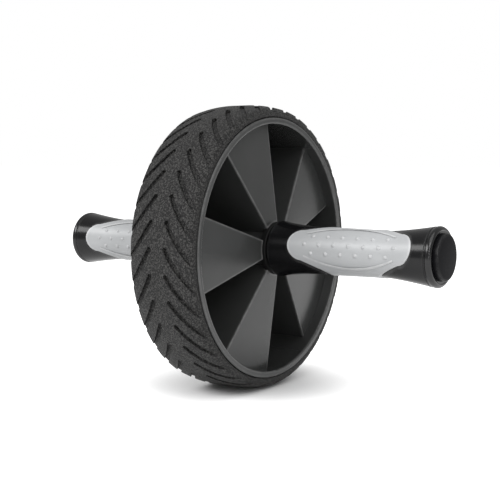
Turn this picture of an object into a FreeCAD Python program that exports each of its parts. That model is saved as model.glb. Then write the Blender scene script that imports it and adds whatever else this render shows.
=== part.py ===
import FreeCAD, Part
import math
import os

from FreeCAD import Vector

# Ab wheel roller. Millimetres. The axle lies along Y, Z is up, and the origin is the middle of the wheel.
# Every piece is drawn on the +Y (left) side and mirrored for the right.

os.makedirs("parts", exist_ok=True)

# Tyre: a foam rubber ring with a crowned tread
tyre_radius = 100.0
tyre_half_width = 25.6
tread_land = 5.0
crown_drop = 3.2
shoulder_round = 4.0
tyre_edge_chamfer = 0.9
tyre_bond = 0.05

# Tread grooves: curved slots that run from near the middle out through the shoulder
groove_count = 36
groove_phase = 7.5
groove_width = 3.4
groove_depth = 2.0
groove_shoulder_depth = 1.0
groove_shoulder_round = 2.6
groove_start = 6.4
groove_middle = 15.8
groove_middle_turn = 8.0
groove_end = 27.0
groove_end_turn = 15.4
groove_margin = 4.0

# Wheel core: rim, ten web panels, the walls between them and the hub
rim_outer_radius = 91.0
rim_wall = 4.3
rim_half_width = 26.5
rim_lip_round = 0.9
panel_count = 5
panel_wall = 2.6
web_wall = 2.2
panel_tuck_turn = 0.4
web_crest_round = 0.6
web_half_at_rim = 18.3
web_half_at_hub = 26.9
web_hub_radius = 17.0
hub_radius = 15.0
hub_half_width = 24.6
hub_bore_radius = 9.4

# Bushes and thrust washers
bush_outer_radius = 10.5
bush_length = 18.0
bush_flange_radius = 18.4
bush_flange = 4.4
bush_flange_round = 0.9
bush_flange_fit = 0.1
bush_running_fit = 0.05
bush_seat_fit = 0.02
washer_play = 0.3
thrust_washer = 1.0
thrust_washer_radius = 13.5
thrust_washer_fit = 0.15

# Axle: a thick journal in the hub, a thinner rod in each handle and a threaded stud at each end
journal_radius = 8.0
rod_radius = 6.0
stud_radius = 4.0
stud_length = 15.0
axle_chamfer = 0.8
rod_setback = 0.8

# Handle sleeve: waisted, with a flare at both ends
inner_flare_radius = 19.4
inner_round = 1.4
neck_station = 50.0
neck_radius = 16.8
waist_start_station = 66.0
waist_start_radius = 15.9
waist_station = 92.0
waist_radius = 15.4
waist_end_station = 113.0
waist_end_radius = 15.4
flare_station = 130.0
flare_radius = 17.0
outer_station = 146.6
outer_flare_radius = 19.5
outer_lip = 5.2
outer_lip_round = 1.9
crease_depth = 0.35
crease_width = 0.9
sleeve_fit = 0.05
pocket_radius = 13.0
pocket_floor_station = 126.0

# Grip inlay: two lobes that join as a ring round the waist
grip_middle = 91.8
grip_half_length = 45.8
grip_nose = 9.4
grip_nose_half_height = 10.4
grip_ring_half_length = 15.4
grip_proud = 0.6
grip_depth = 2.0
grip_seam = 0.06
grip_margin = 6.0
grip_turn_right = 19.0
grip_turn_left = 7.0

# Bumps and the fine raised line on the grip
bump_radius = 1.45
bump_height = 0.8
bump_row_turn = 21.5
bump_pitch = 11.1
bump_row_long = 7
line_half_length = 33.0
line_half_height = 13.6
line_end_half_height = 7.9
line_width = 1.1
line_height = 0.6

# Fastening under the caps
nut_across_flats = 13.0
nut_height = 8.0
nut_thread_fit = 0.1
nut_chamfer = 0.8
nut_washer = 2.0
nut_washer_radius = 11.5
nut_washer_fit = 0.25
nut_seat = 0.02

# End cap
cap_radius = 17.0
cap_thickness = 3.4
cap_round = 1.3
cap_plug_fit = 0.1
cap_plug_wall = 1.8
cap_plug_length = 7.0
cap_seam = 0.05

# Worked out from the sizes above
half_pitch_turn = 180.0 / (2 * panel_count)
rim_inner_radius = rim_outer_radius - rim_wall
bush_end = hub_half_width + bush_flange
washer_inner_face = bush_end + washer_play
sleeve_inner_face = washer_inner_face + thrust_washer
sleeve_outer_face = outer_station + outer_lip
cap_inner_face = sleeve_outer_face + cap_seam
nut_washer_face = pocket_floor_station + nut_seat
nut_face = nut_washer_face + nut_washer + nut_seat
rod_half_length = pocket_floor_station - rod_setback

ORIGIN = Vector(0, 0, 0)
AXLE = Vector(0, 1, 0)
ACROSS = Vector(1, 0, 0)


def at(radius, along):
    """A point of a turned profile: distance from the axle and distance along it."""
    return Vector(radius, along, 0)


def turned(edges, turn=360.0):
    """The solid that a closed profile sweeps about the axle."""
    return Part.Face(Part.Wire(edges)).revolve(ORIGIN, AXLE, turn)


def polygon(corners):
    """Straight edges through the corners and back to the first."""
    return Part.makePolygon(corners + [corners[0]]).Edges


def ring(inner, outer, start, end):
    """A plain turned ring or, with no inner radius, a disc."""
    return turned(polygon([at(inner, start), at(outer, start), at(outer, end), at(inner, end)]))


def mirrored(shape):
    """The same piece on the right-hand side."""
    return shape.mirror(ORIGIN, AXLE)


def turned_by(shape, turn):
    """A copy turned about the axle."""
    copy = shape.copy()
    copy.rotate(ORIGIN, AXLE, turn)
    return copy


def circles_at(shape, radius, along):
    """The round edges of a shape that have this radius and lie at these distances along the axle."""
    found = []
    for edge in shape.Edges:
        curve = edge.Curve
        if not isinstance(curve, Part.Circle):
            continue
        if abs(curve.Radius - radius) > cap_seam:
            continue
        if any(abs(curve.Center.y - place) < cap_seam for place in along):
            found.append(edge)
    return found


def centre_of_arc(first, middle, last):
    """Centre of the circle through three points of the YZ plane."""
    circle = Part.Arc(first, middle, last).toShape().Curve
    return circle.Center, circle.Radius


def crowned_ring(inner, outer, shoulder, edge_round):
    """A ring of the tyre's width: a flat land in the middle, a fall to each shoulder and rounded edges."""
    drop = outer - shoulder
    run = tyre_half_width - tread_land
    fall_radius = (run ** 2 + drop ** 2) / (2 * drop)
    half_fall = math.asin(run / fall_radius) / 2
    middle = at(outer - fall_radius * (1 - math.cos(half_fall)), tread_land + fall_radius * math.sin(half_fall))
    land = at(outer, tread_land)
    edge = at(shoulder, tyre_half_width)
    half = [Part.Arc(land, middle, edge).toShape(), Part.makeLine(edge, at(inner, tyre_half_width))]
    section = half + [mirrored(line) for line in half]
    section.append(Part.makeLine(at(outer, -tread_land), land))
    section.append(Part.makeLine(at(inner, -tyre_half_width), at(inner, tyre_half_width)))
    body = turned(Part.__sortEdges__(section))
    ends = [-tyre_half_width, tyre_half_width]
    return body.makeFillet(edge_round, circles_at(body, shoulder, ends))


def groove_prism():
    """One curved slot as a straight prism along +X, its middle facing +X and its run on the +Y side."""
    middle_turn = groove_end_turn / 2

    def mark(turn, along):
        return Vector(0, along, tyre_radius * math.sin(math.radians(turn - middle_turn)))

    start = mark(0, groove_start)
    middle = mark(groove_middle_turn, groove_middle)
    end = mark(groove_end_turn, groove_end)
    centre, radius = centre_of_arc(start, middle, end)

    def off(point, distance):
        outward = (point - centre).normalize()
        return centre + outward * (radius + distance)

    half = groove_width / 2
    outward = (start - centre).normalize()
    tangent = Vector(0, -outward.z, outward.y)
    if tangent.dot(start - middle) < 0:
        tangent = tangent * -1
    outline = [
        Part.Arc(off(start, half), off(middle, half), off(end, half)).toShape(),
        Part.makeLine(off(end, half), off(end, -half)),
        Part.Arc(off(end, -half), off(middle, -half), off(start, -half)).toShape(),
        Part.Arc(off(start, -half), start + tangent * half, off(start, half)).toShape(),
    ]
    face = Part.Face(Part.Wire(outline))
    reach = groove_depth + crown_drop + groove_margin
    face.translate(Vector(tyre_radius - reach, 0, 0))
    return face.extrude(Vector(reach + groove_margin, 0, 0))


def make_tyre():
    """Foam tyre: a crowned ring with mirrored rows of grooves whose floors follow the crown."""
    bore = rim_outer_radius + tyre_bond
    shoulder = tyre_radius - crown_drop
    body = crowned_ring(bore, tyre_radius, shoulder, shoulder_round)
    ends = [-tyre_half_width, tyre_half_width]
    body = body.makeChamfer(tyre_edge_chamfer, circles_at(body, bore, ends))
    floor_shoulder = shoulder - groove_shoulder_depth
    below = crowned_ring(rim_inner_radius, tyre_radius - groove_depth, floor_shoulder, groove_shoulder_round)
    left = groove_prism().cut(below)
    right = mirrored(left)
    pitch = 360.0 / groove_count
    cutters = []
    for index in range(groove_count):
        facing = groove_phase + groove_end_turn / 2 + index * pitch
        cutters.append(turned_by(left, -facing))
        cutters.append(turned_by(right, -facing))
    return body.cut(cutters)


def web_edge(radius):
    """Half width of the web at a radius: the panels fall from the hub towards the rim."""
    share = (radius - web_hub_radius) / (rim_inner_radius - web_hub_radius)
    return web_half_at_hub + share * (web_half_at_rim - web_half_at_hub)


def web_panel(facing, side):
    """One sloping sector panel of the left (1) or right (-1) side, its middle at this angle."""
    inner = hub_radius - web_wall
    outer = rim_inner_radius + rim_wall / 2
    corners = [
        at(inner, side * web_edge(inner)),
        at(outer, side * web_edge(outer)),
        at(outer, side * (web_edge(outer) - panel_wall)),
        at(inner, side * (web_edge(inner) - panel_wall)),
    ]
    reach_turn = half_pitch_turn - panel_tuck_turn
    sector = turned(polygon(corners), 2 * reach_turn)
    return turned_by(sector, -facing - reach_turn)


def web_walls():
    """The radial walls that join each panel to its neighbours on the other side."""
    inner = hub_radius - web_wall
    outer = rim_inner_radius + rim_wall / 2
    corners = [
        at(inner, web_edge(inner)),
        at(outer, web_edge(outer)),
        at(outer, -web_edge(outer)),
        at(inner, -web_edge(inner)),
    ]
    space = turned(polygon(corners))
    walls = []
    for index in range(2 * panel_count):
        plate = Part.makeBox(outer, 2 * web_half_at_hub + 2 * bush_flange, web_wall)
        plate.translate(Vector(0, -web_half_at_hub - bush_flange, -web_wall / 2))
        walls.append(turned_by(plate, half_pitch_turn + index * 2 * half_pitch_turn).common(space))
    return walls


def web_crests(core):
    """The outer edges of the radial walls, where a panel drops into a recess."""
    found = []
    for edge in core.Edges:
        if not isinstance(edge.Curve, Part.Hyperbola):
            continue
        ends = [vertex.Point for vertex in edge.Vertexes]
        radii = [math.hypot(point.x, point.z) for point in ends]
        on_face = [abs(abs(point.y) - web_edge(radius)) < cap_seam for point, radius in zip(ends, radii)]
        if all(on_face) and abs(radii[0] - radii[1]) > hub_radius:
            found.append(edge)
    return found


def make_wheel_core():
    """Rim, castellated web and hub, moulded in one piece, with seats for the bushes and their flanges."""
    rim = ring(rim_inner_radius, rim_outer_radius, -rim_half_width, rim_half_width)
    ends = [-rim_half_width, rim_half_width]
    lips = circles_at(rim, rim_outer_radius, ends) + circles_at(rim, rim_inner_radius, ends)
    rim = rim.makeFillet(rim_lip_round, lips)
    pieces = [ring(0, hub_radius, -hub_half_width, hub_half_width)]
    for index in range(panel_count):
        facing = index * 4 * half_pitch_turn
        pieces.append(web_panel(facing, 1))
        pieces.append(web_panel(facing + 2 * half_pitch_turn, -1))
    core = rim
    for piece in web_walls() + pieces:
        core = core.fuse(piece)
    core = core.removeSplitter()
    core = core.makeFillet(web_crest_round, web_crests(core))
    seat = hub_half_width - bush_length
    end = hub_half_width + bush_flange
    flange = bush_flange_radius + bush_flange_fit
    return core.cut([
        ring(0, hub_bore_radius, -hub_half_width, hub_half_width),
        ring(0, bush_outer_radius, seat, hub_half_width),
        ring(0, bush_outer_radius, -hub_half_width, -seat),
        ring(0, flange, hub_half_width, end),
        ring(0, flange, -end, -hub_half_width),
    ])


def make_hub_bush():
    """Flanged plain bearing pressed into one end of the hub."""
    inner = journal_radius + bush_running_fit
    outer = bush_outer_radius - bush_seat_fit
    flange_face = hub_half_width + bush_seat_fit
    corners = [
        at(inner, hub_half_width - bush_length + bush_running_fit),
        at(outer, hub_half_width - bush_length + bush_running_fit),
        at(outer, flange_face),
        at(bush_flange_radius, flange_face),
        at(bush_flange_radius, bush_end),
        at(inner, bush_end),
    ]
    bush = turned(polygon(corners))
    return bush.makeFillet(bush_flange_round, circles_at(bush, bush_flange_radius, [bush_end]))


def make_thrust_washer():
    """Loose washer between the bush flange and the handle."""
    inner = journal_radius + thrust_washer_fit
    return ring(inner, thrust_washer_radius, washer_inner_face, sleeve_inner_face - nut_seat)


def make_axle():
    """Stepped steel axle with a stud at each end."""
    stud_end = rod_half_length + stud_length
    corners = [
        at(0, 0),
        at(journal_radius, 0),
        at(journal_radius, sleeve_inner_face),
        at(rod_radius, sleeve_inner_face),
        at(rod_radius, rod_half_length - axle_chamfer),
        at(rod_radius - axle_chamfer, rod_half_length),
        at(stud_radius, rod_half_length),
        at(stud_radius, stud_end - axle_chamfer),
        at(stud_radius - axle_chamfer, stud_end),
        at(0, stud_end),
    ]
    half = turned(polygon(corners))
    return half.fuse(mirrored(half)).removeSplitter()


def waist_curve(offset):
    """The flowing outside line of the handle, moved outwards by the offset."""
    stations = [
        at(inner_flare_radius + offset, sleeve_inner_face + inner_round),
        at(neck_radius + offset, neck_station),
        at(waist_start_radius + offset, waist_start_station),
        at(waist_radius + offset, waist_station),
        at(waist_end_radius + offset, waist_end_station),
        at(flare_radius + offset, flare_station),
        at(outer_flare_radius + offset, outer_station),
    ]
    curve = Part.BSplineCurve()
    curve.interpolate(stations)
    return curve.toShape(), stations[0], stations[-1]


def waist_band(inner_offset, outer_offset):
    """The turned layer between two copies of the handle's outside line."""
    outside, first, last = waist_curve(outer_offset)
    inside, inner_first, inner_last = waist_curve(inner_offset)
    edges = [outside, Part.makeLine(last, inner_last), inside, Part.makeLine(inner_first, first)]
    return turned(Part.__sortEdges__(edges))


def grip_prism(growth):
    """The grip's outline seen square on, as a prism right through the handle along X."""
    tip = grip_half_length + growth
    shoulder = grip_half_length - grip_nose
    ring_end = grip_ring_half_length + growth
    high = grip_nose_half_height + growth
    top = neck_radius + growth
    reach = inner_flare_radius + grip_margin

    def spot(along, height):
        return Vector(-reach, grip_middle + along, height)

    outline = []
    for end in (-1, 1):
        nose = Part.BSplineCurve()
        bulge = math.sin(math.radians(45.0))
        nose.interpolate([
            spot(end * shoulder, -high),
            spot(end * (shoulder + grip_nose * bulge + growth), -high * bulge),
            spot(end * tip, 0),
            spot(end * (shoulder + grip_nose * bulge + growth), high * bulge),
            spot(end * shoulder, high),
        ])
        outline.append(nose.toShape())
        for side in (-1, 1):
            outline.append(Part.makeLine(spot(end * shoulder, side * high), spot(end * ring_end, side * top)))
    for side in (-1, 1):
        outline.append(Part.makeLine(spot(-ring_end, side * top), spot(ring_end, side * top)))
    face = Part.Face(Part.Wire(Part.__sortEdges__(outline)))
    return face.extrude(Vector(2 * reach, 0, 0))


def line_prisms():
    """The fine raised lines above and below the bumps, as curved bars right through along X."""
    reach = inner_flare_radius + grip_margin
    half = line_width / 2
    bars = []
    for side in (-1, 1):
        def spot(along, height):
            return Vector(-reach, grip_middle + along, side * height)

        upper = Part.Arc(
            spot(-line_half_length, line_end_half_height + half),
            spot(0, line_half_height + half),
            spot(line_half_length, line_end_half_height + half),
        ).toShape()
        lower = Part.Arc(
            spot(-line_half_length, line_end_half_height - half),
            spot(0, line_half_height - half),
            spot(line_half_length, line_end_half_height - half),
        ).toShape()
        ends = [
            Part.makeLine(spot(end * line_half_length, line_end_half_height + half),
                          spot(end * line_half_length, line_end_half_height - half))
            for end in (-1, 1)
        ]
        face = Part.Face(Part.Wire(Part.__sortEdges__([upper, lower] + ends)))
        bars.append(face.extrude(Vector(2 * reach, 0, 0)))
    return bars


def surface_radius(along):
    """Radius of the grip's outside at a distance along the axle."""
    curve, first, last = waist_curve(grip_proud)
    cut = curve.Curve.intersect(Part.LineSegment(at(0, along), at(2 * inner_flare_radius, along)))
    return cut[0].X


def grip_bumps():
    """Low domes in three staggered rows on the front lobe and the back lobe."""
    rows = [(0, bump_row_long), (-bump_row_turn, bump_row_long - 1), (bump_row_turn, bump_row_long - 1)]
    sphere_radius = (bump_radius ** 2 + bump_height ** 2) / (2 * bump_height)
    bumps = []
    for row_turn, count in rows:
        for index in range(count):
            along = grip_middle + (index - (count - 1) / 2) * bump_pitch
            rise = surface_radius(along) + bump_height - sphere_radius
            dome = Part.makeSphere(sphere_radius, Vector(rise, along, 0), ACROSS, 0, 90, 360)
            for facing in (0, 180):
                bumps.append(turned_by(dome, facing + row_turn))
    return bumps


def make_grip():
    """Soft inlay flush in the handle and a little proud, with its bumps and raised lines."""
    body = waist_band(-grip_depth, grip_proud).common(grip_prism(0))
    raised = waist_band(-grip_depth / 2, grip_proud + line_height)
    lines = [bar.common(raised) for bar in line_prisms()]
    return body.fuse(lines + grip_bumps())


def make_sleeve():
    """Hard handle sleeve with the bed for the grip, the bore for the axle and the pocket for the nut."""
    outside, first, last = waist_curve(0)
    bore = rod_radius + sleeve_fit
    face_radius = inner_flare_radius - inner_round
    turn_in = math.cos(math.radians(45.0))
    inner_corner = Part.Arc(
        at(face_radius, sleeve_inner_face),
        at(face_radius + inner_round * turn_in, sleeve_inner_face + inner_round * (1 - turn_in)),
        first,
    ).toShape()
    crease_end = at(outer_flare_radius, outer_station + crease_width)
    crease = Part.Arc(
        last,
        at(outer_flare_radius - crease_depth, outer_station + crease_width / 2),
        crease_end,
    ).toShape()
    lip_start = at(outer_flare_radius, sleeve_outer_face - outer_lip_round)
    lip_end_radius = outer_flare_radius - outer_lip_round
    lip = Part.Arc(
        lip_start,
        at(lip_end_radius + outer_lip_round * turn_in, sleeve_outer_face - outer_lip_round * (1 - turn_in)),
        at(lip_end_radius, sleeve_outer_face),
    ).toShape()
    edges = [
        Part.makeLine(at(bore, sleeve_inner_face), at(face_radius, sleeve_inner_face)),
        inner_corner,
        outside,
        crease,
        Part.makeLine(crease_end, lip_start),
        lip,
        Part.makeLine(at(lip_end_radius, sleeve_outer_face), at(pocket_radius, sleeve_outer_face)),
        Part.makeLine(at(pocket_radius, sleeve_outer_face), at(pocket_radius, pocket_floor_station)),
        Part.makeLine(at(pocket_radius, pocket_floor_station), at(bore, pocket_floor_station)),
        Part.makeLine(at(bore, pocket_floor_station), at(bore, sleeve_inner_face)),
    ]
    body = turned(edges)
    bed = waist_band(-grip_depth - grip_seam, grip_proud).common(grip_prism(grip_seam))
    return body.cut(bed)


def make_nut_washer():
    """Plain washer on the floor of the handle's pocket."""
    return ring(stud_radius + nut_washer_fit, nut_washer_radius, nut_washer_face, nut_washer_face + nut_washer)


def make_lock_nut():
    """Hexagon lock nut on the stud."""
    corner_radius = nut_across_flats / math.sqrt(3)
    corners = []
    for index in range(6):
        angle = math.radians(index * 60.0)
        corners.append(Vector(corner_radius * math.cos(angle), nut_face, corner_radius * math.sin(angle)))
    hexagon = Part.Face(Part.makePolygon(corners + [corners[0]])).extrude(Vector(0, nut_height, 0))
    end = nut_face + nut_height
    crown = turned(polygon([
        at(0, nut_face),
        at(nut_across_flats / 2, nut_face),
        at(nut_across_flats / 2 + nut_chamfer, nut_face + nut_chamfer),
        at(nut_across_flats / 2 + nut_chamfer, end - nut_chamfer),
        at(nut_across_flats / 2, end),
        at(0, end),
    ]))
    return hexagon.common(crown).cut(ring(0, stud_radius + nut_thread_fit, nut_face, end))


def make_end_cap():
    """Flat cap with a hollow plug that pushes into the handle's pocket."""
    outer_face = cap_inner_face + cap_thickness
    plug = pocket_radius - cap_plug_fit
    corners = [
        at(0, outer_face),
        at(cap_radius, outer_face),
        at(cap_radius, cap_inner_face),
        at(plug, cap_inner_face),
        at(plug, cap_inner_face - cap_plug_length),
        at(plug - cap_plug_wall, cap_inner_face - cap_plug_length),
        at(plug - cap_plug_wall, cap_inner_face),
        at(0, cap_inner_face),
    ]
    cap = turned(polygon(corners))
    return cap.makeFillet(cap_round, circles_at(cap, cap_radius, [outer_face]))


pieces = {
    "tyre": make_tyre(),
    "wheel_core": make_wheel_core(),
    "axle": make_axle(),
}
paired = {
    "hub_bush": make_hub_bush(),
    "thrust_washer": make_thrust_washer(),
    "nut_washer": make_nut_washer(),
    "lock_nut": make_lock_nut(),
    "end_cap": make_end_cap(),
}
for name, shape in paired.items():
    pieces[name + "_left"] = shape
    pieces[name + "_right"] = mirrored(shape)
for name, shape in {"handle_sleeve": make_sleeve(), "grip": make_grip()}.items():
    pieces[name + "_left"] = turned_by(shape, grip_turn_left)
    pieces[name + "_right"] = turned_by(mirrored(shape), grip_turn_right)

for name, shape in pieces.items():
    solids = shape.Solids
    solid = solids[0] if len(solids) == 1 else Part.makeCompound(solids)
    solid.exportStep("parts/" + name + ".step")
    box = solid.BoundBox
    print(name, len(solids), "solid", len(solid.Faces), "faces", "valid", solid.isValid(),
          "volume", round(solid.Volume), "size", [round(v, 2) for v in (box.XLength, box.YLength, box.ZLength)])
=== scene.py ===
# %% [markdown]
# # An ab wheel roller
# The roller is a wide wheel with a grooved foam tyre, a moulded core with ten web panels, and a waisted
# handle on each side of the wheel. Its solids come from the CAD model, which is loaded first and keeps its
# place. This lesson gives each solid its finish, adds the rolled ends and the caps of the handles, and sets
# up the studio.

# %% Load the CAD model
import math

import bpy
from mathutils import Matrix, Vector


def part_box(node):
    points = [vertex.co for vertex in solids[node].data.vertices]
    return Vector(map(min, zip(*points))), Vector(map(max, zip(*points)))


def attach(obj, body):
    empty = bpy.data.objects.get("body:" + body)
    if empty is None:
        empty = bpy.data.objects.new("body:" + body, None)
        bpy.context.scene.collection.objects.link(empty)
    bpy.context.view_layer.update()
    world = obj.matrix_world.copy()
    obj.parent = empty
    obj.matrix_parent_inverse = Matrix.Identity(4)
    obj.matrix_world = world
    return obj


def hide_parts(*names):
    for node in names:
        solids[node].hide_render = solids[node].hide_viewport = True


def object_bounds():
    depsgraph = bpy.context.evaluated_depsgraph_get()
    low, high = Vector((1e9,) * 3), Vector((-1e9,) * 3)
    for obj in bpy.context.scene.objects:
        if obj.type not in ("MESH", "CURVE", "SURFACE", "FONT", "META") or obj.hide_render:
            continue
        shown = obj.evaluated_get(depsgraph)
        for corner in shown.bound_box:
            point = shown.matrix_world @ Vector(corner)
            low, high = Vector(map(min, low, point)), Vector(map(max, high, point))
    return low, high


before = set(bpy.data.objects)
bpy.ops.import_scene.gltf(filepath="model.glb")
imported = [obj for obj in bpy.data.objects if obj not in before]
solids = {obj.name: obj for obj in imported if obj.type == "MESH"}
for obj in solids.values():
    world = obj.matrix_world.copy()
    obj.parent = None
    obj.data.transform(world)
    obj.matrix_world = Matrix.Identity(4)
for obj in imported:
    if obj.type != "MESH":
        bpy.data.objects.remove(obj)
cad_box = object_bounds()
scene = bpy.context.scene
print("loaded", len(solids), "solids")

# %% [markdown]
# An operator acts on all that is selected, and the loaded solids start out selected. So everything is
# deselected before an operator adds something new.

# %% A selection helper
def deselect_all():
    """Leaves nothing selected."""
    bpy.ops.object.select_all(action="DESELECT")


deselect_all()
print("selected pieces:", len(bpy.context.selected_objects))

# %% [markdown]
# ## Helpers for node networks
# A material is a small network of nodes. It can be drawn by hand in the shader editor, one node and one
# wire at a time. In a script the same few steps come again and again, so each gets a helper here: feed sets
# the inputs of a node, and the others add a node, a sum, a ramp between two colours, or a new material.

# %% Node helpers
def feed(node, values):
    """Sets inputs of a node. A plain value is stored, and an output of another node is wired in."""
    for place, value in values.items():
        if isinstance(value, bpy.types.NodeSocket):
            node.id_data.links.new(value, node.inputs[place])
        else:
            node.inputs[place].default_value = value
    return node


def add_node(tree, kind, values):
    """Adds a shader node of one kind and feeds it."""
    return feed(tree.nodes.new("ShaderNode" + kind), values)


def add_math(tree, operation, *entries):
    """Adds a Math node that works on numbers or outputs, and hands back its result."""
    node = tree.nodes.new("ShaderNodeMath")
    node.operation = operation
    return feed(node, dict(enumerate(entries))).outputs[0]


def add_ramp(tree, factor, low, low_colour, high, high_colour):
    """Adds a ramp from the colour at low to the colour at high, and hands back its colour."""
    node = add_node(tree, "ValToRGB", {"Fac": factor})
    first, last = node.color_ramp.elements
    first.position = low
    first.color = (*low_colour, 1.0)
    last.position = high
    last.color = (*high_colour, 1.0)
    return node.outputs["Color"]


def object_place(tree):
    """The place of a point in its object's own frame, which every pattern here follows."""
    return add_node(tree, "TexCoord", {}).outputs["Object"]


def start_material(name):
    """Makes a material, and hands back the material, its tree and its shader."""
    material = bpy.data.materials.new(name)
    material.use_nodes = True
    return material, material.node_tree, material.node_tree.nodes["Principled BSDF"]


print("node helpers ready")

# %% [markdown]
# An effect that several finishes share is a node group. It is built once and placed in each material with
# its own values, as a stamp would be.

# %% Group helpers
def start_group(name, inputs, outputs):
    """Makes a group of float sockets, and hands back the group, what comes in and the node that leads out."""
    group = bpy.data.node_groups.new(name, "ShaderNodeTree")
    for socket_name, usual in inputs.items():
        socket = group.interface.new_socket(name=socket_name, in_out="INPUT", socket_type="NodeSocketFloat")
        socket.default_value = usual
    for socket_name in outputs:
        group.interface.new_socket(name=socket_name, in_out="OUTPUT", socket_type="NodeSocketFloat")
    return group, group.nodes.new("NodeGroupInput").outputs, group.nodes.new("NodeGroupOutput")


def add_group(tree, group, values):
    """Places a group in a material with its own values, and hands back what comes out."""
    node = tree.nodes.new("ShaderNodeGroup")
    node.node_tree = group
    return feed(node, values).outputs


print("group helpers ready")

# %% [markdown]
# ## A grain that all the moulded pieces share
# Moulded plastic and rubber are never quite even: the mould is lightly sparked, so the gloss wavers and the
# surface has a fine grain. A picture of such a grain would need unwrapping and would show its seams. Noise
# in the roller's own frame has no seams, so one group makes a fine noise for the grain and a slow one for
# the gloss and the tone.

# %% The mould grain group
def make_mould_grain():
    """A fine grain height, and a slow drift of the roughness and the tone."""
    usual = {"Grain Scale": 900.0, "Drift Scale": 30.0, "Roughness": 0.4, "Drift": 0.08}
    group, entry, leave = start_group("mould_grain", usual, ("Height", "Roughness", "Tone"))
    place = object_place(group)
    grain = add_node(group, "TexNoise", {"Vector": place, "Scale": entry["Grain Scale"], "Detail": 3.0})
    drift = add_node(group, "TexNoise", {"Vector": place, "Scale": entry["Drift Scale"], "Detail": 2.0})
    middle_of_noise = 0.5
    centred = add_math(group, "SUBTRACT", drift.outputs["Fac"], middle_of_noise)
    waver = add_math(group, "MULTIPLY_ADD", centred, entry["Drift"], entry["Roughness"])
    feed(leave, {"Height": grain.outputs["Fac"], "Roughness": waver, "Tone": drift.outputs["Fac"]})
    return group


mould_grain = make_mould_grain()
print("grain group", [item.name for item in mould_grain.interface.items_tree])

# %% [markdown]
# ## Edges that catch the light
# Thin highlights run along the outer edges of the moulding, where the small rounds catch the light. Here
# they are painted: those edges get a paler colour. Such edges could be painted by hand, face by face. Ambient
# occlusion looked at from inside the solid finds them by itself: a short ray that starts under a flat face
# meets nothing, and one that starts beside an outer edge meets the next face. Inner corners stay as they are.

# %% The pale edge group
def make_painted_edge_highlights():
    """A mask for painted highlights, strong beside outer edges and broken up a little along them."""
    usual = {"Reach": 0.002, "Strength": 1.0, "Break Scale": 160.0}
    group, entry, leave = start_group("pale_edges", usual, ("Mask",))
    near = add_node(group, "AmbientOcclusion", {"Distance": entry["Reach"]})
    near.inside = True
    near.only_local = True
    near.samples = 8
    open_on_faces = 0.92
    open_on_edges = 0.60
    edge = add_node(group, "MapRange", {
        "Value": near.outputs["AO"], "From Min": open_on_faces, "From Max": open_on_edges,
    })
    patch = add_node(group, "TexNoise", {"Vector": object_place(group), "Scale": entry["Break Scale"]})
    least_of_an_edge = 0.4
    broken = add_node(group, "MapRange", {
        "Value": patch.outputs["Fac"], "From Min": 0.3, "From Max": 0.6, "To Min": least_of_an_edge,
    })
    uneven_highlight = add_math(group, "MULTIPLY", edge.outputs["Result"], broken.outputs["Result"])
    feed(leave, {"Mask": add_math(group, "MULTIPLY", uneven_highlight, entry["Strength"])})
    return group


pale_edges = make_painted_edge_highlights()
print("edge group", [item.name for item in pale_edges.interface.items_tree])

# %% [markdown]
# ## Moulded finishes
# The core, the sleeves, the bushes and the caps are black or dark grey plastic of different gloss, and the
# grips are a light grey rubber. They differ in a few numbers only, so one function makes them all. What is
# the same all over the surface is set on the shader's own socket. Only what changes over it is wired in: the
# grain, the drift of the gloss and the tone, and a painted highlight along the outer edges. On the caps these
# edges also have a clear coat, because their rim is polished and their face dull.

# %% A function for moulded finishes
tone_swing = 0.08
tone_low = 0.3
tone_high = 0.7
gloss_drift = 0.03


def moulded_finish(
    name, colour, roughness, specular, grain_scale, grain_depth=0.00001, edge=0.0, pale=0.3, coat=None,
):
    """A plastic or rubber with the mould grain, a slow change of tone, and a painted highlight: outer edges
    made paler by the given share.

    Where coat is given, it is the roughness of a clear coat on those edges.
    """
    material, tree, shader = start_material(name)
    grain = add_group(tree, mould_grain, {
        "Grain Scale": grain_scale, "Roughness": roughness, "Drift": gloss_drift,
    })
    bump = add_node(tree, "Bump", {"Height": grain["Height"], "Strength": 1.0, "Distance": grain_depth})
    darker = [(1.0 - tone_swing) * value for value in colour]
    lighter = [(1.0 + tone_swing) * value for value in colour]
    tone = add_ramp(tree, grain["Tone"], tone_low, darker, tone_high, lighter)
    # Painted highlight: the outer edges are mixed toward a lighter grey, as if they caught the light.
    highlight_mask = add_group(tree, pale_edges, {"Strength": edge})["Mask"]
    colour_with_highlight = add_node(tree, "MixRGB", {"Fac": highlight_mask, "Color1": tone, "Color2": (pale, pale, pale, 1.0)})
    feed(shader, {
        "Base Color": colour_with_highlight.outputs["Color"],
        "Roughness": grain["Roughness"],
        "Specular IOR Level": specular,
        "Normal": bump.outputs["Normal"],
    })
    if coat is not None:
        feed(shader, {"Coat Weight": highlight_mask, "Coat Roughness": coat})
    return material


print("one function for all moulded finishes")

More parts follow.
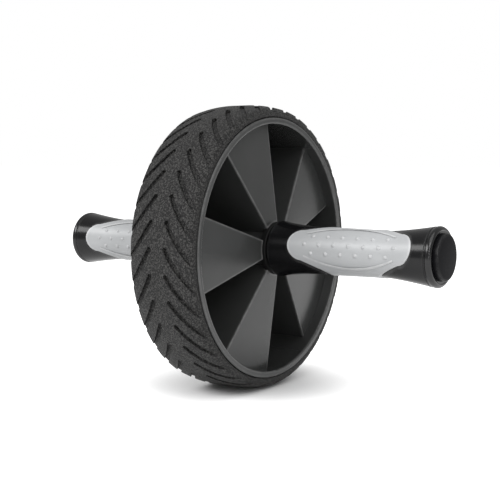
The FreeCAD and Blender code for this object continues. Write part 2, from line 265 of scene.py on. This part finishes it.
# %% The moulded finishes
# Each finish below sets how strong its painted edge highlight is and how light its grey.
handle_black = (0.004, 0.004, 0.0045)
core_plastic = moulded_finish(
    "core_plastic", (0.029, 0.0298, 0.0292), roughness=0.26, specular=0.48, grain_scale=1400.0, edge=0.34,
)
sleeve_plastic = moulded_finish(
    "sleeve_plastic", handle_black, roughness=0.20, specular=0.27, grain_scale=1200.0, edge=0.12,
)
bead_plastic = moulded_finish(
    "bead_plastic", handle_black, roughness=0.18, specular=0.42, grain_scale=1200.0,
)
cap_plastic = moulded_finish(
    "cap_plastic", (0.006, 0.006, 0.007), roughness=0.36, specular=0.02, grain_scale=1200.0,
    grain_depth=0.00002, edge=0.9, pale=0.06, coat=0.2,
)
grip_rubber = moulded_finish(
    "grip_rubber", (0.385, 0.393, 0.400), roughness=0.36, specular=0.5, grain_scale=1500.0,
    edge=0.5, pale=0.66,
)
bush_nylon = moulded_finish(
    "bush_nylon", (0.005, 0.005, 0.005), roughness=0.5, specular=0.12, grain_scale=900.0,
)
moulded = (core_plastic, sleeve_plastic, bead_plastic, cap_plastic, grip_rubber, bush_nylon)
print("moulded finishes:", [material.name for material in moulded])

# %% [markdown]
# ## The foam of the tyre
# The tyre is closed-cell foam rubber. Seen near, it is a dark grey full of tiny pits. Cutting the pits into
# the mesh would take millions of faces, so a fine noise makes them: it is the height of a deep bump, and it
# darkens the colour in the pits as well, as painted shade for the shadow inside them.

# %% The foam of the tyre
def make_tyre_foam():
    """Dark grey foam with pits that show as bumps and as specks of painted shade."""
    material, tree, shader = start_material("tyre_foam")
    noise = add_node(tree, "TexNoise", {
        "Vector": object_place(tree), "Scale": 900.0, "Detail": 2.0, "Roughness": 0.65,
    })
    pits = noise.outputs["Fac"]
    # The near-black in the pits is painted shade.
    pit_shade = (0.003, 0.003, 0.003)
    skin_grey = (0.054, 0.053, 0.051)
    pit_ends = 0.46
    skin_starts = 0.62
    pit_depth = 0.0015
    bump = add_node(tree, "Bump", {"Height": pits, "Strength": 1.0, "Distance": pit_depth})
    feed(shader, {
        "Base Color": add_ramp(tree, pits, pit_ends, pit_shade, skin_starts, skin_grey),
        "Roughness": add_group(tree, mould_grain, {"Roughness": 0.55, "Drift": 0.1})["Roughness"],
        "Specular IOR Level": 0.28,
        "Normal": bump.outputs["Normal"],
    })
    return material


tyre_foam = make_tyre_foam()
print("foam ready:", tyre_foam.name)

# %% [markdown]
# ## Turned steel
# The axle, the nuts and their washers are steel that was turned on a lathe, so fine rings run round the
# axle. A wave texture with straight bands would miss the end faces. Ball-shaped rings about the middle of
# the axle cross every turned face in rings. They change the gloss and the tone a little and stand a few
# thousandths of a millimetre proud.

# %% Turned steel
def make_turned_steel():
    """Bright steel with fine turning marks round the axle."""
    material, tree, shader = start_material("steel")
    wave = add_node(tree, "TexWave", {
        "Vector": object_place(tree), "Scale": 800.0, "Distortion": 2.0, "Detail": 3.0,
    })
    wave.wave_type = "RINGS"
    wave.rings_direction = "SPHERICAL"
    marks = wave.outputs["Fac"]
    mark_height = 0.000005
    bump = add_node(tree, "Bump", {"Height": marks, "Distance": mark_height})
    gloss = add_node(tree, "MapRange", {"Value": marks, "To Min": 0.26, "To Max": 0.40})
    feed(shader, {
        "Base Color": add_ramp(tree, marks, 0.0, (0.50, 0.51, 0.52), 1.0, (0.61, 0.62, 0.63)),
        "Metallic": 1.0,
        "Roughness": gloss.outputs["Result"],
        "Normal": bump.outputs["Normal"],
    })
    return material


steel = make_turned_steel()
print("steel ready:", steel.name)

# %% [markdown]
# ## Dress the pieces
# The solids already have the real shapes, so each one stays and takes its finish. Left and right pieces are
# twins, so the table names each kind once.

# %% Give each piece its finish
finishes = {
    "tyre": tyre_foam,
    "wheel_core": core_plastic,
    "axle": steel,
    "hub_bush": bush_nylon,
    "thrust_washer": bush_nylon,
    "nut_washer": steel,
    "lock_nut": steel,
    "end_cap": cap_plastic,
    "handle_sleeve": sleeve_plastic,
    "grip": grip_rubber,
}
for name, solid in solids.items():
    kind = name.replace("_left", "").replace("_right", "")
    solid.data.materials.clear()
    solid.data.materials.append(finishes[kind])
print("dressed", len(solids), "solids")

# %% [markdown]
# ## The rolled end of each handle
# The open end of a handle is rolled into a soft bead round its cap, and the brightest glints of the whole
# roller run along it. A torus would do, but a real bead is wider than it is high, so its section is drawn
# as a circle, stretched along the axle and spun once round it. Its place comes from the box of the sleeve.

# %% Roll the right bead
sleeve_low, sleeve_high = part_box("handle_sleeve_right")
sleeve_end = -sleeve_low[1]
flare_radius = sleeve_high[2]
bead_half_height = 0.0023
bead_half_width = 0.0026
bead_rise = 0.0004
bead_overhang = 0.0002
bead_ring_radius = flare_radius + bead_rise - bead_half_height
bead_station = sleeve_end + bead_overhang - bead_half_width
bead_section_points = 28
round_steps = 120
merge_distance = 0.00001

deselect_all()
bpy.ops.mesh.primitive_circle_add(
    vertices=bead_section_points, radius=bead_half_height, rotation=(0.0, math.radians(90.0), 0.0),
)
right_bead = bpy.context.object
right_bead.name = "handle_bead_right"
bpy.ops.object.transform_apply(location=True, rotation=True, scale=True)
bpy.ops.object.mode_set(mode="EDIT")
bpy.ops.mesh.select_all(action="SELECT")
bpy.ops.transform.resize(value=(1.0, bead_half_width / bead_half_height, 1.0))
bpy.ops.transform.translate(value=(0.0, -bead_station, bead_ring_radius))
bpy.ops.mesh.spin(
    steps=round_steps, angle=math.radians(360.0), center=(0.0, 0.0, 0.0), axis=(0.0, 1.0, 0.0),
)
bpy.ops.mesh.select_all(action="SELECT")
bpy.ops.mesh.remove_doubles(threshold=merge_distance)
bpy.ops.mesh.normals_make_consistent(inside=False)
bpy.ops.object.mode_set(mode="OBJECT")
bpy.ops.object.shade_smooth()
right_bead.data.materials.append(bead_plastic)
print("bead at", round(bead_station, 5), "with a ring radius of", round(bead_ring_radius, 5))

# %% [markdown]
# The left bead is a copy with its own mesh. Turning a copy half round about the upright axis brings it to
# the other handle. It is turned in edit mode, so that the object itself stays at the origin, unturned. The
# caps need the same, so this is a function.

# %% Copy a piece to the left handle
def copy_to_left(right_piece, name):
    """Copies a piece of the right handle and turns the copy half round, to the left handle."""
    deselect_all()
    right_piece.select_set(True)
    bpy.context.view_layer.objects.active = right_piece
    bpy.ops.object.duplicate()
    left_piece = bpy.context.object
    left_piece.name = name
    bpy.ops.object.mode_set(mode="EDIT")
    bpy.ops.mesh.select_all(action="SELECT")
    bpy.ops.transform.rotate(value=math.radians(180.0), orient_axis="Z", center_override=(0.0, 0.0, 0.0))
    bpy.ops.object.mode_set(mode="OBJECT")
    return left_piece


left_bead = copy_to_left(right_bead, "handle_bead_left")
for piece in (right_bead, left_bead):
    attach(piece, "handlebar")
    print(piece.name, len(piece.data.vertices), "points")

# %% [markdown]
# ## The end caps
# The cap that closes each handle is narrower than its seat, so a dark gap runs between it and the rolled
# end, and its edge is softly rounded. The solid of the cap fills its seat, so a cap with this step and edge
# stands for it. It could be spun like the bead, but it is simpler to start from a short cylinder and bevel
# its front edge in several segments.

# %% Turn the caps
cap_low, cap_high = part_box("end_cap_right")
cap_depth = cap_high[1] - cap_low[1]
cap_radius = 0.0154
cap_edge_round = 0.0014
cap_edge_segments = 6
facing_out = -0.9
smooth_angle = math.radians(40.0)

deselect_all()
bpy.ops.mesh.primitive_cylinder_add(
    vertices=round_steps, radius=cap_radius, depth=cap_depth,
    location=(0.0, cap_low[1] + cap_depth / 2.0, 0.0), rotation=(math.radians(90.0), 0.0, 0.0),
)
right_cap = bpy.context.object
right_cap.name = "handle_cap_right"
bpy.ops.object.transform_apply(location=True, rotation=True, scale=True)
bpy.ops.object.mode_set(mode="EDIT")
bpy.ops.mesh.select_mode(type="FACE")
bpy.ops.mesh.select_all(action="DESELECT")
bpy.ops.object.mode_set(mode="OBJECT")
for face in right_cap.data.polygons:
    face.select = face.normal.y < facing_out
bpy.ops.object.mode_set(mode="EDIT")
bpy.ops.mesh.region_to_loop()
bpy.ops.mesh.bevel(offset=cap_edge_round, segments=cap_edge_segments, affect="EDGES")
bpy.ops.object.mode_set(mode="OBJECT")
bpy.ops.object.shade_smooth_by_angle(angle=smooth_angle)
right_cap.data.materials.append(cap_plastic)

left_cap = copy_to_left(right_cap, "handle_cap_left")
for piece, solid_name in ((right_cap, "end_cap_right"), (left_cap, "end_cap_left")):
    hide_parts(solid_name)
    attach(piece, "handlebar")
    print(piece.name, len(piece.data.polygons), "faces")

# %% [markdown]
# ## The studio
# The photograph is a catalogue shot on a white ground, with a faint shadow under the wheel. More light
# would make the ground white, but it would wash out the roller too. So the floor is pale paper that also
# glows to the camera. The glow grows from nothing under the wheel to its full strength a little way off, so
# the paper keeps the shadow, and the fade paints a soft shade on the ground round the wheel. Mirrored rays
# see part of that glow, so that glossy plastic reflects a pale ground.

# %% What the camera and mirrored rays see
def shown_share(tree, mirrored_share):
    """Is 1 to the camera, mirrored_share to mirrored rays and rays through glass, and 0 to all others."""
    path = add_node(tree, "LightPath", {}).outputs
    mirrored = add_math(tree, "MAXIMUM", path["Is Glossy Ray"], path["Is Transmission Ray"])
    return add_math(tree, "MULTIPLY_ADD", mirrored, mirrored_share, path["Is Camera Ray"])


print("light paths ready")

# %% Floor
floor_height = cad_box[0][2]
floor_size = 40.0
glow_starts = 0.02
glow_full = 0.14
floor_mirrored_share = 0.6
white = (1.0, 1.0, 1.0, 1.0)

deselect_all()
bpy.ops.mesh.primitive_plane_add(size=floor_size, location=(0.0, 0.0, floor_height))
floor = bpy.context.object
floor.name = "studio_floor"
paper, paper_tree, paper_shader = start_material("studio_paper")
feed(paper_shader, {"Base Color": (0.90, 0.90, 0.90, 1.0), "Roughness": 1.0, "Specular IOR Level": 0.0})
from_wheel = add_node(paper_tree, "VectorMath", {0: object_place(paper_tree)})
from_wheel.operation = "LENGTH"
# Painted shade: the glow fades out toward the wheel, so the ground round it stays darker.
fade = add_node(paper_tree, "MapRange", {
    "Value": from_wheel.outputs["Value"], "From Min": glow_starts, "From Max": glow_full,
})
fade.interpolation_type = "SMOOTHSTEP"
glow_strength = add_math(
    paper_tree, "MULTIPLY", shown_share(paper_tree, floor_mirrored_share), fade.outputs["Result"],
)
glow = add_node(paper_tree, "Emission", {"Color": white, "Strength": glow_strength})
both = add_node(paper_tree, "AddShader", {0: paper_shader.outputs["BSDF"], 1: glow.outputs["Emission"]})
feed(paper_tree.nodes["Material Output"], {"Surface": both.outputs["Shader"]})
floor.data.materials.append(paper)
print("floor at", round(floor_height, 4))

# %% [markdown]
# The world is white to the camera and only a soft grey light to the roller. Mirrored rays see something
# between the two: a real studio has dark corners, and without them the black handles would look grey.

# %% World
sky_light = 0.32
sky_mirrored_share = 0.30

world = bpy.data.worlds.new("studio_world")
world.use_nodes = True
scene.world = world
sky_shown = shown_share(world.node_tree, sky_mirrored_share)
sky_strength = add_math(world.node_tree, "MULTIPLY_ADD", sky_shown, 1.0 - sky_light, sky_light)
feed(world.node_tree.nodes["Background"], {"Color": white, "Strength": sky_strength})
print("world gives the roller a light of", sky_light)

# %% [markdown]
# ## Lamps
# Three soft lamps light the roller. The key is a wide one to the left of the picture, and draws the long
# streak on both handles. The top lamp is large and fills the near side. The side lamp is a tall narrow
# strip to the right of the camera, and draws the upright glints on the rolled end of the near handle. An
# area lamp shines along its own -Z, so each is turned until its Z axis points away from the wheel.

# %% Lamps
def soft_lamp(name, spot, width, height, power):
    """A rectangular area lamp that looks at the middle of the wheel."""
    deselect_all()
    bpy.ops.object.light_add(type="AREA", location=spot)
    lamp = bpy.context.object
    lamp.name = name
    lamp.data.shape = "RECTANGLE"
    lamp.data.size = width
    lamp.data.size_y = height
    lamp.data.energy = power
    lamp.rotation_euler = lamp.location.to_track_quat("Z", "Y").to_euler()
    print(name, "of", power, "watts")


soft_lamp("key_lamp", (-1.05, 0.50, 0.78), width=1.30, height=0.46, power=13.5)
soft_lamp("top_lamp", (-0.35, -0.65, 1.15), width=1.3, height=1.3, power=10.2)
soft_lamp("side_lamp", (-0.62, -0.92, 0.45), width=0.06, height=1.00, power=4.2)

# %% [markdown]
# ## The camera
# The camera stands about three quarters of a metre from the wheel and a little above the axle, on the side
# of the right handle, where the tread and the right side of the wheel both show. The numbers come from
# fitting the wheel's rim and both handles in the photograph. The small shift frames the roller as the
# photograph does.

# %% Camera at the photograph's angle
camera_distance = 0.7454
camera_azimuth = math.radians(-55.40)
camera_elevation = math.radians(4.72)

deselect_all()
bpy.ops.object.camera_add()
camera = bpy.context.object
camera.name = "photo_camera"
camera.location = (
    camera_distance * math.sin(camera_azimuth) * math.cos(camera_elevation),
    -camera_distance * math.cos(camera_azimuth) * math.cos(camera_elevation),
    camera_distance * math.sin(camera_elevation),
)
camera.rotation_euler = camera.location.to_track_quat("Z", "Y").to_euler()
camera.data.sensor_width = 36.0
camera.data.lens = 74.93
camera.data.shift_x = 0.00913
camera.data.shift_y = -0.00743
camera.data.clip_start = 0.01
scene.camera = camera
scene.view_settings.view_transform = "Standard"
print("camera at", [round(value, 4) for value in camera.location])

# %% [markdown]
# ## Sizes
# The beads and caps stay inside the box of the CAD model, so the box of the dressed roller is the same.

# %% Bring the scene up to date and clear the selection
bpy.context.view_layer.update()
deselect_all()
